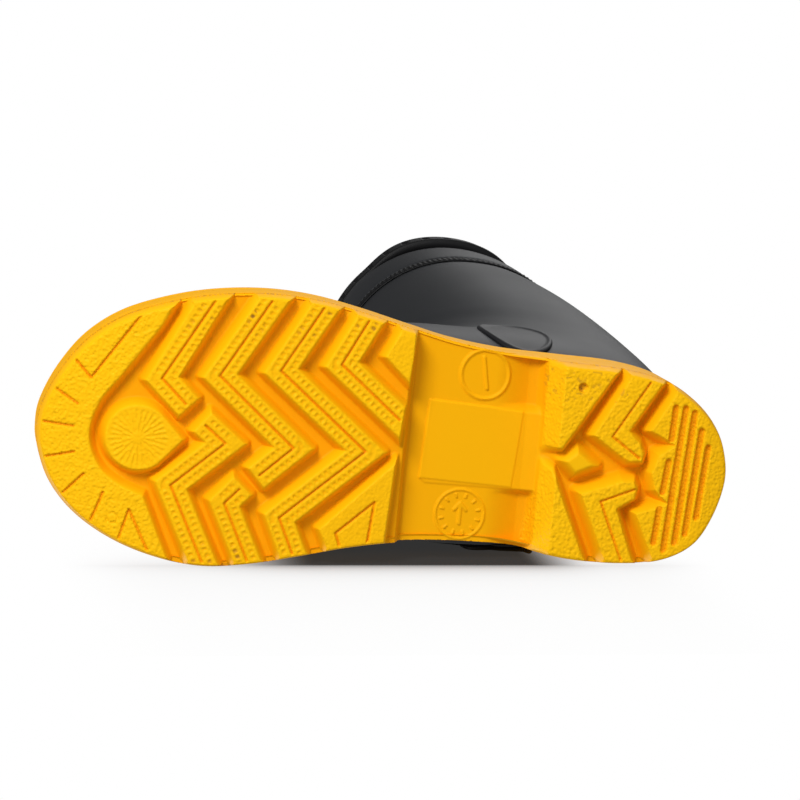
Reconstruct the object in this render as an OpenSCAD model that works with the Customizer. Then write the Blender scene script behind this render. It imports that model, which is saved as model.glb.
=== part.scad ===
/* [Sole] */
// Length of the sole from the back of the heel to the toe
sole_length = 257; // [235:1:285]
// Width of the sole across the ball of the foot
sole_width = 102; // [94:1:112]
// Depth of the tread lugs under the forefoot
lug_depth = 5.5; // [4:0.5:7]
// Depth of the tread lugs under the heel
heel_lug_depth = 7.5; // [5:0.5:9]
// Half of the width of one tread bar
bar_half_width = 5.1; // [4:0.1:5.6]
// Width of the fine slits cut along the tread bars
slit_width = 0.8; // [0.5:0.1:1.2]
// Height of the sole's lip around the upper
lip_height = 6; // [3:0.5:9]
// Thickness of the sole's lip
lip_thickness = 3.2; // [2.5:0.1:4]

/* [Upper] */
// Height of the boot from the ground to the rim
boot_height = 328; // [290:2:370]
// Thickness of the rubber upper
wall = 2.8; // [2.4:0.1:2.9]
// Height of the rim band
rim_band_height = 14; // [10:1:18]
// How far the grips at the sides of the rim stand out
rim_grip = 3.6; // [1:0.2:5]
// Height of the smooth cuff below the rim band
cuff_height = 37; // [25:1:45]
// How far the smooth cuff stands out from the leg
cuff_bulge = 2.6; // [1:0.2:4]
// Height of the ribbed band under the cuff
rib_band_height = 7; // [4:1:10]
// Width of the oval ankle guards
ankle_guard_width = 28; // [20:1:36]
// Height of the oval ankle guards
ankle_guard_height = 60; // [40:1:64]

/* [Inside] */
// Thickness of the steel toe cap
cap_thickness = 1.8; // [1.4:0.1:1.8]
// Length of the steel toe cap
cap_length = 44; // [38:1:50]
// Thickness of the felt insulation
felt_thickness = 2; // [1:0.1:2]
// Thickness of the knitted lining
lining_thickness = 1; // [0.6:0.1:1]
// Thickness of the steel puncture plate
plate_thickness = 0.8; // [0.5:0.1:0.8]
// Thickness of the insole board
board_thickness = 2.4; // [1.5:0.1:2.4]
// Thickness of the removable footbed under its cover
footbed_thickness = 4.2; // [3:0.2:5]
// Thickness of the cloth cover on the footbed
cover_thickness = 0.8; // [0.5:0.1:1]

/* [Hidden] */

// The shapes below are drawn for this length and width, and scaled to the sizes above.
drawn_length = 257;
drawn_width = 102;
drawn_height = 328;
kx = sole_length / drawn_length;
ky = sole_width / drawn_width;

// The origin is under the middle of the boot; x runs to the toe, y to the outer side of the foot.
back_x = -0.5;
toe_x = 256;
mid_x = kx * (back_x + toe_x) / 2;

// Clear gap between pieces that lie on each other.
gap = 0.25;
// A length longer than the boot, for cutting.
long = 400;

// ---- Curves -------------------------------------------------------------

function blend4(a, b, c, d, t) =
    b + 0.5 * t * ((c - a) + t * ((2 * a - 5 * b + 4 * c - d) + t * (3 * (b - c) + d - a)));

// A smooth closed curve through the given points.
function closed_curve(p, steps) =
    let (n = len(p))
    [for (i = [0 : n - 1], j = [0 : steps - 1])
        blend4(p[(i + n - 1) % n], p[i], p[(i + 1) % n], p[(i + 2) % n], j / steps)];

// A smooth open curve through the given points.
function open_curve(p, steps) =
    let (n = len(p))
    concat(
        [for (i = [0 : n - 2], j = [0 : steps - 1])
            blend4(p[max(i - 1, 0)], p[i], p[i + 1], p[min(i + 2, n - 1)], j / steps)],
        [p[n - 1]]
    );

// Each point of a closed outline moved inwards by d; the outline runs clockwise seen from above.
function inset(p, d) =
    let (n = len(p))
    [for (i = [0 : n - 1])
        let (v = p[(i + 1) % n] - p[(i + n - 1) % n])
        p[i] + d * [v[1], -v[0]] / norm(v)];

// The height on a curve of [x, z] points at a place x.
function height_at(p, x) = lookup(x, p);

// ---- Sole outline and profile --------------------------------------------

outline_points = [
    [-0.5, -1], [1.5, 11], [6.5, 20], [15, 28], [26, 34], [42, 37.2], [62, 38.2], [85, 39.3],
    [105, 42], [122, 46], [140, 50.5], [158, 54], [176, 55], [195, 53.2], [212, 49],
    [228, 42.3], [240.5, 32.4], [249.5, 19.6], [254.9, 7], [256, -2], [254.8, -10], [250, -21],
    [241, -31], [228, -39], [212, -44.5], [194, -47], [176, -45.2], [158, -41.2],
    [140, -36.7], [122, -33.5], [104, -32.2], [86, -32], [72, -33.3], [56, -35.5],
    [38, -35.7], [22, -33.4], [10, -26.5], [3, -15]
];
sole_outline = closed_curve([for (p = outline_points) [p[0] * kx, p[1] * ky]], 3);

// Height of the tread above the ground, from the heel to the toe.
tread_points = [[-2, 3], [3, 1.6], [10, 0.2], [14, 0], [65, 0], [71, 11], [76, 12], [112, 11],
    [120, 5], [122, 0], [188, 0], [205, 1.2], [222, 3.8], [238, 7.6], [250, 11], [258, 14]];
// Height of the top of the sole, where the upper stands on it.
floor_points = [[-10, 31], [45, 30.5], [70, 28.5], [95, 25.5], [120, 23.2], [150, 22], [188, 22],
    [210, 22.8], [228, 24.6], [240, 26.8], [252, 29.6], [262, 32]];
// Height of the upper edge of the sole's lip.
lip_points = [[-10, lip_height + 32], [45, lip_height + 30.5], [95, lip_height + 25.5],
    [150, lip_height + 22], [200, lip_height + 22.5], [225, lip_height + 25],
    [245, lip_height + 28.5], [262, lip_height + 31]];

tread_curve = [for (p = tread_points) [p[0] * kx, p[1]]];
floor_curve = open_curve([for (p = floor_points) [p[0] * kx, p[1]]], 3);
lip_curve = open_curve([for (p = lip_points) [p[0] * kx, p[1]]], 3);

// The waist, between the heel and the forefoot, has no lugs.
waist_back = 70;
waist_front = 115;
function lug_height(x) = x < waist_back * kx ? heel_lug_depth : x > waist_front * kx ? lug_depth : 0;
base_curve = [for (p = tread_curve) [p[0], p[1] + lug_height(p[0])]];

function floor_z(x) = height_at(floor_curve, x);

// A slab that runs the whole width of the boot between two curves of height.
module between(low, high, low_add = 0, high_add = 0) {
    points = concat(
        [for (p = low) [p[0], p[1] + low_add]],
        [for (i = [len(high) - 1 : -1 : 0]) [high[i][0], high[i][1] + high_add]]
    );
    translate([0, long / 2, 0]) rotate([90, 0, 0]) linear_extrude(long) polygon(points);
}

module plan(points, low = -20, high = 90) {
    translate([0, 0, low]) linear_extrude(high - low) polygon(points);
}

// Puts a piece drawn from the back of the heel into the boot's own frame.
module place() {
    translate([-mid_x, 0, 0]) children();
}

// ---- Tread ------------------------------------------------------------------

// Each tread bar is a line of [x, y] points with a slit down its middle.
bars = [
    [[194, 58], [212.7, 21.2], [202.1, 11.4]],
    [[197.3, 6.9], [188, -0.5], [206.5, -17.5], [190, -50]],
    [[172, 58], [192, 24], [163, -0.5], [176, -12.6]],
    [[180.2, -15.4], [186.5, -22.5], [173, -50]],
    [[152.6, 58], [170, 27.5], [136.5, 0.2], [166, -26.5], [155, -50]],
    [[134.4, 58], [148, 31.5], [118, 7]]
];
// The solid lugs: a side lug and a corner lug at the back of the forefoot.
forefoot_lugs = [
    [[119, 60], [121.7, 25.5], [132.7, 35.5], [120.5, 60]],
    [[124.5, -2], [127.3, -50], [141, -50], [151.5, -29.5]]
];
// The two front heel lugs, the pyramid between them and the two corner bars behind them.
heel_lugs = [
    [[72, 50], [70, 6], [63.3, 6.3], [37, 50]],
    [[69.5, 0], [66, -1.5], [44, -50], [78, -50]],
    [[63.7, 2], [57.5, 7.4], [48.9, 0.8], [57.9, -3.5]],
    [[32, 52], [53, 12.3], [38.5, 3], [33, 3.5], [32.5, 7], [34.3, 11], [38.5, 15], [17, 52]],
    [[55.8, -9.3], [40, -3.3], [35.3, -3.2], [33.8, -6], [34.4, -10.3], [40.6, -14.5],
        [26, -50], [37, -50]]
];
heel_block = [[-5, 50], [12, 50], [31.8, 15.5], [22.2, 10.8], [27.5, 7], [29.8, 0],
    [28, -6.5], [22.9, -11], [34.5, -15.3], [18, -50], [-5, -50]];
// The front of the toe lug, around the drop-shaped lug.
toe_lug_back = [[204.5, 60], [214.2, 40], [227.6, 20], [234, 10.5], [236.9, 0], [234.7, -10],
    [230.3, -15], [225.3, -18], [216, -21.5], [202, -52]];
drop_centre = [219.6, -1];
drop_radius = 12.3;
drop_tip = [203, -0.5];
// Where the sides of the drop leave its circle, measured from its axis.
drop_angle = 49;
heel_groove_pitch = 3.45;
heel_groove_x = 9.8;
heel_groove_slant = 3.4;

// Where two offset lines meet at a corner of a bar.
function corner(a, b, c, w) =
    let (u = (b - a) / norm(b - a), v = (c - b) / norm(c - b), m = (u + v) / norm(u + v))
    b + w / (m * u) * [-m[1], m[0]];

function bar_side(p, w) =
    let (n = len(p))
    [for (i = [0 : n - 1])
        let (
            a = i == 0 ? 2 * p[0] - p[1] : p[i - 1],
            c = i == n - 1 ? 2 * p[n - 1] - p[n - 2] : p[i + 1]
        )
        corner(a, p[i], c, w)];

function bar_outline(p, w) =
    let (left = bar_side(p, w), right = bar_side(p, -w))
    concat(left, [for (i = [len(right) - 1 : -1 : 0]) right[i]]);

module drop_lug() {
    translate(drop_centre) circle(drop_radius, $fn = 40);
    polygon([
        drop_centre + drop_radius * [-cos(drop_angle), sin(drop_angle)],
        drop_centre + drop_radius * [-cos(drop_angle), -sin(drop_angle)],
        drop_tip
    ]);
}

module forefoot_plan() {
    for (p = bars) polygon(bar_outline(p, bar_half_width));
    for (p = forefoot_lugs) polygon(p);
    drop_lug();
    polygon(concat(toe_lug_back, [[265, -52], [265, 60]]));
}

module tread() {
    scale([kx, ky, 1]) linear_extrude(60, center = true) {
        difference() {
            intersection() {
                forefoot_plan();
                polygon([[119.4, 60], [124.6, -2], [127.6, -60], [270, -60], [270, 60]]);
            }
            for (p = bars) polygon(bar_outline(p, slit_width / 2));
        }
        for (p = heel_lugs) polygon(p);
        difference() {
            polygon(heel_block);
            for (i = [0 : 3])
                translate([heel_groove_x + i * heel_groove_pitch, 0])
                    rotate(heel_groove_slant)
                        square([1.4, 2 * (13 + i * 5)], center = true);
        }
    }
}

module outsole() {
    color([1, 0.76, 0.05]) place() {
        difference() {
            union() {
                intersection() {
                    plan(sole_outline);
                    between(base_curve, floor_curve);
                }
                intersection() {
                    plan(inset(sole_outline, 1.2));
                    tread();
                    between(tread_curve, base_curve, 0, 1);
                }
                intersection() {
                    difference() {
                        plan(sole_outline);
                        plan(inset(sole_outline, lip_thickness), -30, 100);
                    }
                    between(floor_curve, lip_curve, -1, 0);
                }
            }
            intersection() {
                plan(inset(sole_outline, 8));
                between(floor_curve, floor_curve, -plate_thickness - 2 * gap, 20);
            }
            shank_slot();
            heel_pocket(0);
        }
    }
}

// ---- Plates under the foot -------------------------------------------------

shank_back = 52;
shank_front = 146;
shank_half_width = 13;
shank_thickness = 1.2;

module shank_slot() {
    intersection() {
        translate([shank_back - gap, -shank_half_width - gap, 0])
            cube([shank_front - shank_back + 2 * gap, 2 * shank_half_width + 2 * gap, 60]);
        between(floor_curve, floor_curve, -plate_thickness - shank_thickness - 4 * gap, 1);
    }
}

module heel_pocket(clear) {
    intersection() {
        plan(inset(sole_outline, 13 + clear));
        translate([0, -60, 14 + clear]) cube([shank_back - 2 - clear, 120, 60]);
        between(floor_curve, floor_curve, -20, -plate_thickness - 2 * gap - clear);
    }
}

module puncture_plate() {
    color([0.62, 0.64, 0.66]) place()
        intersection() {
            plan(inset(sole_outline, 8.3));
            between(floor_curve, floor_curve, -plate_thickness - gap, -gap);
        }
}

module ladder_shank() {
    color([0.5, 0.52, 0.55]) place()
        intersection() {
            difference() {
                translate([shank_back, -shank_half_width, 0])
                    cube([shank_front - shank_back, 2 * shank_half_width, 60]);
                for (i = [0 : 6])
                    translate([shank_back + 8 + i * 12, -shank_half_width + 5, -1])
                        cube([6, 2 * shank_half_width - 10, 62]);
            }
            between(floor_curve, floor_curve,
                -plate_thickness - shank_thickness - 3 * gap, -plate_thickness - 3 * gap);
        }
}

module heel_filler() {
    color([0.35, 0.33, 0.3]) place() heel_pocket(2 * gap);
}

// ---- Upper -----------------------------------------------------------------

// Sections through the upper, from the toe over the instep to the rim. Each has the front or
// top point x, z; the back or bottom point x, z; the half width on the outer and the inner
// side; where the widest place lies from 0 at the top to 1 at the bottom; and how square the
// top half and the bottom half are. The last one lies above the rim and only guides the curve.
sections = [
    [251.5, 40, 251.5, 27, 6.5, 6.5, 0.55, 2.0, 2.0],
    [249, 48, 249, 22, 13.5, 13.5, 0.58, 2.1, 2.3],
    [243, 56, 243, 18, 23.5, 22, 0.60, 2.2, 2.5],
    [230, 63, 230, 16, 36, 32, 0.62, 2.3, 3.0],
    [210, 68, 210, 14, 44.5, 39, 0.62, 2.3, 3.6],
    [188, 73, 188, 13, 48.5, 41, 0.60, 2.2, 3.8],
    [166, 81, 165, 12, 48.5, 38.5, 0.58, 2.1, 3.4],
    [148, 93, 141, 12, 45.5, 36, 0.55, 2.1, 2.8],
    [134, 109, 114, 14, 42.5, 38, 0.52, 2.1, 2.5],
    [125, 127, 82, 17, 41.5, 41.5, 0.52, 2.1, 2.4],
    [120, 145, 42, 20, 40.5, 43, 0.54, 2.1, 2.4],
    [117, 161, 12, 31, 40, 43.5, 0.54, 2.1, 2.3],
    [115.5, 175, 4.5, 60, 41.5, 44, 0.54, 2.1, 2.25],
    [114.5, 189, 5.5, 98, 44.5, 45.5, 0.54, 2.1, 2.35],
    [114, 206, 8, 145, 47.5, 47.5, 0.54, 2.05, 2.45],
    [114, 229, 9, 200, 49.5, 49, 0.53, 2, 2.45],
    [114, 262, 10.5, 258, 50.5, 50, 0.52, 2, 2.35],
    [113.5, 295, 12.5, 295, 51, 51, 0.51, 2, 2.1],
    [113, 328, 14, 328, 51, 51, 0.5, 2, 2],
    [113, 361, 15, 361, 51, 51, 0.5, 2, 2]
];
last_section = len(sections) - 2;
section_rise = 33;
// The foot's own felt and lining end at this section, above the ankle.
ankle_top = 14;

function section_at(u) =
    let (i = min(floor(u), last_section), t = u - i)
    [for (k = [0 : 8])
        blend4(sections[max(i - 1, 0)][k], sections[i][k], sections[i + 1][k],
            sections[min(i + 2, last_section + 1)][k], t)];

// Heights above the instep stretch with the boot's height.
low_height = 100;
stretch = (boot_height - low_height) / (drawn_height - low_height);
function stretch_z(z) = z < low_height ? z : low_height + (z - low_height) * stretch;

// The place along the sections of a height on the leg.
function section_of_height(z) = last_section - (boot_height - z) / (section_rise * stretch);

// Over the first sections an inner layer is also shortened at the toe.
toe_sections = 3.2;
function toe_share(u) = max(0, 1 - u / toe_sections);
function power(a, e) = a <= 0 ? 0 : pow(a, e);

// One point of a layer: u along the sections, a around the section from the top over the outer
// side, d the distance inwards from the outer surface and f the distance up from the floor, which
// the sections up to floor_sections rest on.
floor_sections = 12;
function layer_point(u, a, d, f) =
    let (
        s = section_at(u),
        top = [s[0] * kx, stretch_z(s[1])],
        bottom = [s[2] * kx, stretch_z(s[3])],
        along = (bottom - top) / norm(bottom - top),
        span = bottom - top - 2 * d * along,
        c = cos(a),
        square = c > 0 ? s[7] : s[8],
        part = power(abs(c), 2 / square),
        at = c > 0 ? s[6] * (1 - part) : s[6] + (1 - s[6]) * part,
        width = (sin(a) > 0 ? s[4] : s[5]) * ky - d,
        y = sign(sin(a)) * width * power(abs(sin(a)), 2 / square),
        xz = top + d * along + at * span,
        x = xz[0] - d * toe_share(u)
    )
    [x, y, u < floor_sections ? max(xz[1], floor_z(x) + f) : xz[1]];

function even(low, high, n) = [for (i = [0 : n]) low + (high - low) * i / n];
function angles(n) = [for (i = [0 : n - 1]) 360 * i / n];

function ring(u, n, d, f = 0) = [for (a = angles(n)) layer_point(u, a, d, f)];

// The faces between rings of n points; a closed set joins its last ring to its first.
function ring_faces(m, n, closed) =
    [for (i = [0 : (closed ? m - 1 : m - 2)], j = [0 : n - 1], k = [0, 1])
        let (p = ((i + 1) % m) * n, a = i * n + j, b = i * n + (j + 1) % n,
            c = p + j, d = p + (j + 1) % n)
        k == 0 ? [a, c, b] : [b, c, d]];

function middle(p) = let (n = len(p)) [for (k = [0 : 2]) [for (q = p) q[k]] * [for (q = p) 1] / n];

// A solid from rings of points, with its first and last ring filled in.
module skin(rings) {
    n = len(rings[0]);
    m = len(rings);
    start = m * n;
    last = (m - 1) * n;
    ends = [for (j = [0 : n - 1], k = [0, 1])
        let (next = (j + 1) % n)
        k == 0 ? [start, j, next] : [start + 1, last + next, last + j]];
    points = concat([for (r = rings) each r], [middle(rings[0]), middle(rings[m - 1])]);
    polyhedron(points, concat(ring_faces(m, n, false), ends), convexity = 8);
}

// A band around the boot: its rings of points close on themselves.
module band(rings) {
    polyhedron([for (r = rings) each r], ring_faces(len(rings), len(rings[0]), true),
        convexity = 8);
}

// A layer like a sock, closed at the toe and open at the top. Its two sides are given as
// [distance inwards, distance up from the floor].
module sock(top, n, outer, inner) {
    out_rings = foot_rings(top, outer[0]);
    in_rings = foot_rings(top, inner[0]);
    skin(concat(
        [for (u = out_rings) ring(u, n, outer[0], outer[1])],
        [for (i = [len(in_rings) - 1 : -1 : 0]) ring(in_rings[i], n, inner[0], inner[1])]
    ));
}

// A band on the leg from its cross-section: [height, distance outwards] points, in order.
module leg_band(profile, n, grip = 0) {
    band([for (p = profile)
        [for (a = angles(n))
            let (out = p[1] > 0.5 ? p[1] + grip * side_share(a) : p[1])
            layer_point(section_of_height(p[0]), a, -out, 0)]]);
}

// How much of the side grip is felt at an angle around the leg: all of it at the two sides.
grip_start = 0.7;
function side_share(a) =
    let (b = (abs(sin(a)) - grip_start) / (1 - grip_start))
    b < 0 ? 0 : pow(sin(b * 90), 2);

// The places along the sections for the rings of a layer that lies d inside the upper. The deeper
// the layer, the further back its toe begins.
function foot_rings(top, d) =
    concat(even(d / 5, 3.2, 6), even(3.6, 8, 9), even(8.3, 11.3, 10), even(11.75, ankle_top, 5),
        top > ankle_top ? even(ankle_top + 0.4, top, 8) : []);
rim_top = boot_height - 1.8;
// Number of points around each layer.
layer_points = 28;

cap_depth = wall + gap;
felt_depth = cap_depth + cap_thickness + gap;
felt_floor = wall + 2 * gap;
board_floor = felt_floor + felt_thickness + gap;
lining_depth = felt_depth + felt_thickness + gap;
lining_floor = board_floor + board_thickness + gap;
footbed_floor = lining_floor + lining_thickness + 2 * gap;
cover_floor = footbed_floor + footbed_thickness;

module upper_shell() {
    color([0.2, 0.2, 0.21]) place()
        sock(section_of_height(rim_top), layer_points, [0, gap], [wall, wall + gap]);
}

// The band that covers the rim, with a grip on each side to pull the boot on by.
module rim_band() {
    low = boot_height - rim_band_height;
    color([0.1, 0.1, 0.11]) place()
        leg_band([
            [rim_top + gap, gap], [low, gap], [low, 1.4], [low + 1.5, 2],
            [boot_height - 1, 1.8], [boot_height, 0.8], [boot_height, -wall],
            [rim_top + gap, -wall]
        ], layer_points, rim_grip);
}

cuff_top = boot_height - rim_band_height - gap;
cuff_low = cuff_top - cuff_height;

module cuff() {
    color([0.27, 0.27, 0.28]) place()
        leg_band([
            [cuff_top, gap], [cuff_low, gap], [cuff_low, 0.9], [cuff_low + 4, 0.8 * cuff_bulge],
            [(cuff_low + cuff_top) / 2, cuff_bulge], [cuff_top - 3, 0.75 * cuff_bulge],
            [cuff_top, 0.9]
        ], layer_points);
}

module rib_band() {
    top = cuff_low - gap;
    low = top - rib_band_height;
    color([0.12, 0.12, 0.13]) place()
        leg_band([
            [top, gap], [low, gap], [low, 0.6], [low + 1, 1], [top - 1, 1], [top, 0.6]
        ], layer_points);
}

// The middle of the ankle guards, seen from the side.
guard_middle = [73, 70];
guard_points = 28;

// The place on the upper, as [section, angle], that lies at a point [x, z] on one side. It starts
// from a guess and closes in on the point in a few steps.
function place_of(side, point, guess, steps) =
    steps == 0 ? guess :
    let (
        e = 0.01,
        p = layer_point(guess[0], side * guess[1], 0, 0),
        u = (layer_point(guess[0] + e, side * guess[1], 0, 0) - p) / e,
        a = (layer_point(guess[0], side * (guess[1] + e), 0, 0) - p) / e,
        x = point[0] - p[0],
        z = point[1] - p[2],
        det = u[0] * a[2] - a[0] * u[2]
    )
    place_of(side, point, guess + [x * a[2] - a[0] * z, u[0] * z - x * u[2]] / det, steps - 1);

// One oval ring of a guard: its share of the guard's size and its distance off the upper.
function guard_ring(side, share, off) =
    [for (t = angles(guard_points))
        let (
            point = guard_middle
                + share * [ankle_guard_width * cos(t), ankle_guard_height * sin(t)] / 2,
            at = place_of(side, point, [10.95, 90], 6)
        )
        layer_point(at[0], side * at[1], -off, 0)];

module ankle_guard(side) {
    rings = [
        guard_ring(side, 0.1, gap), guard_ring(side, 0.33, gap), guard_ring(side, 0.67, gap),
        guard_ring(side, 1, gap), guard_ring(side, 1, 1), guard_ring(side, 0.94, 1.8),
        guard_ring(side, 0.67, 2), guard_ring(side, 0.33, 2), guard_ring(side, 0.1, 2)
    ];
    color([0.17, 0.17, 0.18]) place()
        skin(side < 0 ? rings : [for (i = [len(rings) - 1 : -1 : 0]) rings[i]]);
}

module ankle_guard_lateral() {
    ankle_guard(1);
}

module ankle_guard_medial() {
    ankle_guard(-1);
}

// ---- Pieces inside the upper ----------------------------------------------------

// Everything above the floor of the layer that lies f above the sole.
module above_floor(f) {
    between(floor_curve, floor_curve, f, long);
}

cap_back = toe_x * kx - cap_length;
strip_length = 5;
cap_bottom = 0.8;
cap_floor = felt_floor + cap_bottom + gap;

// The layer that holds the toe cap, its edge strip and the heel counter.
module cap_layer() {
    sock(ankle_top, layer_points, [cap_depth, felt_floor],
        [cap_depth + cap_thickness, felt_floor + cap_bottom]);
}

module toe_cap() {
    color([0.66, 0.67, 0.69]) place()
        intersection() {
            cap_layer();
            above_floor(cap_floor);
            translate([cap_back, -long / 2, 0]) cube([long, long, long]);
        }
}

module toe_cap_edge_strip() {
    color([0.15, 0.15, 0.16]) place()
        intersection() {
            cap_layer();
            above_floor(cap_floor);
            translate([cap_back - gap - strip_length, -long / 2, 0])
                cube([strip_length, long, long]);
        }
}

counter_front = 62;
counter_top = 88;
counter_floor = cap_floor + 3;

module heel_counter() {
    color([0.45, 0.38, 0.3]) place()
        intersection() {
            cap_layer();
            above_floor(counter_floor);
            translate([-long / 2, -long / 2, 0])
                cube([long / 2 + counter_front, long, counter_top]);
        }
}

module felt_layer() {
    color([0.62, 0.6, 0.55]) place()
        sock(ankle_top, layer_points, [felt_depth, felt_floor],
            [felt_depth + felt_thickness, felt_floor + felt_thickness]);
}

module lining_foot() {
    color([0.78, 0.74, 0.62]) place()
        sock(ankle_top, layer_points, [lining_depth, lining_floor],
            [lining_depth + lining_thickness, lining_floor + lining_thickness]);
}

leg_depth = wall + gap;
hem_length = 14;
hem_thickness = 0.9;
lining_top = section_of_height(rim_top - 2);
// How many sections the leg lining takes to come in from the shell to the foot lining.
lining_run = 1.2;

// The leg lining runs in from the shell to meet the foot lining at the ankle.
function leg_lining_depth(u) =
    leg_depth + (lining_depth - leg_depth) * pow(max(0, 1 - (u - ankle_top) / lining_run), 2);

module lining_leg() {
    us = even(ankle_top + 0.02, lining_top, 12);
    color([0.74, 0.7, 0.58]) place()
        band(concat(
            [for (u = us) ring(u, layer_points, leg_lining_depth(u))],
            [for (i = [len(us) - 1 : -1 : 0])
                ring(us[i], layer_points, leg_lining_depth(us[i]) + lining_thickness)]
        ));
}

module lining_hem() {
    us = even(section_of_height(rim_top - 2 - hem_length), lining_top, 2);
    depth = leg_depth + lining_thickness + gap;
    color([0.2, 0.2, 0.2]) place()
        band(concat(
            [for (u = us) ring(u, layer_points, depth)],
            [for (i = [len(us) - 1 : -1 : 0]) ring(us[i], layer_points, depth + hem_thickness)]
        ));
}

// Where the wall of a layer meets the floor of another, as half of a footprint: how far down
// the section the floor lies, from 0 at the top to 1 at the bottom.
function floor_share(top, span, f, x, steps) =
    let (at = (top[1] - floor_z(x) - f) / -span[1])
    steps == 0 ? at : floor_share(top, span, f, top[0] + at * span[0], steps - 1);

function floor_point(u, side, d, f) =
    let (
        s = section_at(u),
        top = [s[0] * kx, s[1]],
        bottom = [s[2] * kx, s[3]],
        along = (bottom - top) / norm(bottom - top),
        span = bottom - top - 2 * d * along,
        top_in = top + d * along,
        at = floor_share(top_in, span, f, bottom[0], 4),
        t = (at - s[6]) / (1 - s[6]),
        width = (side > 0 ? s[4] : s[5]) * ky - d
    )
    [top_in[0] + at * span[0] - d * toe_share(u), t >= 1 ? 0 : side * width *
        power(1 - power(max(t, 0), s[8]), 1 / s[8]), t];

footprint_rings = concat(even(1.2, 3, 4), even(3.5, 10, 13), even(10.1, 11.9, 18));

// The outline of the flat bottom of a layer.
function footprint(d, f) =
    let (
        outer = [for (u = footprint_rings) floor_point(u, 1, d, f)],
        inner = [for (i = [len(footprint_rings) - 1 : -1 : 0])
            floor_point(footprint_rings[i], -1, d, f)]
    )
    [for (p = concat(outer, inner)) if (p[2] < 0.999) [p[0], p[1]]];

module floor_piece(d, f, thickness) {
    intersection() {
        plan(footprint(d, f));
        between(floor_curve, floor_curve, f, f + thickness);
    }
}

board_clear = 3;

module insole_board() {
    color([0.7, 0.62, 0.48]) place()
        floor_piece(felt_depth + felt_thickness + board_clear, board_floor, board_thickness);
}

// The footbed lies loose in the boot, so it is smaller all round than the lining.
footbed_clear = 3.6;
footbed_depth = lining_depth + lining_thickness + footbed_clear;

module footbed() {
    color([0.2, 0.24, 0.3]) place()
        floor_piece(footbed_depth, footbed_floor, footbed_thickness);
}

module footbed_cover() {
    color([0.45, 0.47, 0.5]) place()
        floor_piece(footbed_depth, cover_floor, cover_thickness);
}

outsole();
puncture_plate();
ladder_shank();
heel_filler();
upper_shell();
rim_band();
cuff();
rib_band();
ankle_guard_lateral();
ankle_guard_medial();
toe_cap();
toe_cap_edge_strip();
heel_counter();
felt_layer();
lining_foot();
lining_leg();
lining_hem();
insole_board();
footbed();
footbed_cover();
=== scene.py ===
import math

import bpy
import numpy as np
from mathutils import Matrix, Vector


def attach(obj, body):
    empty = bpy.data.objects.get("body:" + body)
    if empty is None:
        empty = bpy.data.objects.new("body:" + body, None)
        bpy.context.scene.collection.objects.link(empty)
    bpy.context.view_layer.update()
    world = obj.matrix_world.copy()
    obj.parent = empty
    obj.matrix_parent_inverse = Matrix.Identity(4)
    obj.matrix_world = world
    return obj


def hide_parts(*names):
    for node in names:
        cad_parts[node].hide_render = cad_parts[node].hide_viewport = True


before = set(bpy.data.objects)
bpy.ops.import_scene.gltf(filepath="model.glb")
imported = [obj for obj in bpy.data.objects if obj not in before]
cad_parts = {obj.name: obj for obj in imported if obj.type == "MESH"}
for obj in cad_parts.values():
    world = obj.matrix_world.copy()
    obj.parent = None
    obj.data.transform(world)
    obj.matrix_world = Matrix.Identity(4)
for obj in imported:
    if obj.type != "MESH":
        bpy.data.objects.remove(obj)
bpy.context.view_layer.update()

# All shapes below are drawn in millimetres from the back of the heel (x), with y to the outer side
# of the foot and z up from the tread, and are moved into the row frame by make_mesh.
MM = 0.001
MID_X = 127.75
SEED = 7
FAR = 1e9
rng = np.random.default_rng(SEED)


# ---- Curves and distances ----------------------------------------------------------------------

def blend4(a, b, c, d, t):
    return b + 0.5 * t * ((c - a) + t * ((2 * a - 5 * b + 4 * c - d) + t * (3 * (b - c) + d - a)))


def closed_curve(points, steps):
    p = np.array(points, float)
    t = (np.arange(steps) / steps)[None, :, None]
    a, c, d = np.roll(p, 1, 0), np.roll(p, -1, 0), np.roll(p, -2, 0)
    return blend4(a[:, None], p[:, None], c[:, None], d[:, None], t).reshape(-1, p.shape[1])


def open_curve(points, steps):
    p = np.array(points, float)
    q = np.vstack([p[:1], p, p[-1:]])
    t = (np.arange(steps) / steps)[None, :, None]
    body = blend4(q[:-3][:, None], q[1:-2][:, None], q[2:-1][:, None], q[3:][:, None], t)
    return np.vstack([body.reshape(-1, p.shape[1]), p[-1:]])


def smooth(x, low=0.0, high=1.0):
    t = np.clip((x - low) / (high - low), 0, 1)
    return t * t * (3 - 2 * t)


def signed(poly, x, y):
    """Distance to the edge of a closed outline, below zero inside it."""
    p = np.array(poly, float)
    best = np.full(x.shape, FAR)
    inside = np.zeros(x.shape, bool)
    for (x0, y0), (x1, y1) in zip(p, np.roll(p, -1, 0)):
        dx, dy = x1 - x0, y1 - y0
        t = np.clip(((x - x0) * dx + (y - y0) * dy) / (dx * dx + dy * dy + 1e-12), 0, 1)
        best = np.minimum(best, (x - x0 - t * dx) ** 2 + (y - y0 - t * dy) ** 2)
        if y0 != y1:
            inside ^= ((y0 > y) != (y1 > y)) & (x < dx * (y - y0) / dy + x0)
    d = np.sqrt(best)
    return np.where(inside, -d, d)


def along(line, x, y):
    """Distance to an open line, and how far along it the nearest place is."""
    best = np.full(x.shape, FAR)
    place = np.zeros(x.shape)
    done = 0.0
    for (x0, y0), (x1, y1) in zip(line[:-1], line[1:]):
        dx, dy = x1 - x0, y1 - y0
        length = math.hypot(dx, dy)
        t = np.clip(((x - x0) * dx + (y - y0) * dy) / length ** 2, 0, 1)
        d = np.hypot(x - x0 - t * dx, y - y0 - t * dy)
        nearer = d < best
        best = np.where(nearer, d, best)
        place = np.where(nearer, done + t * length, place)
        done += length
    return best, place


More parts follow.
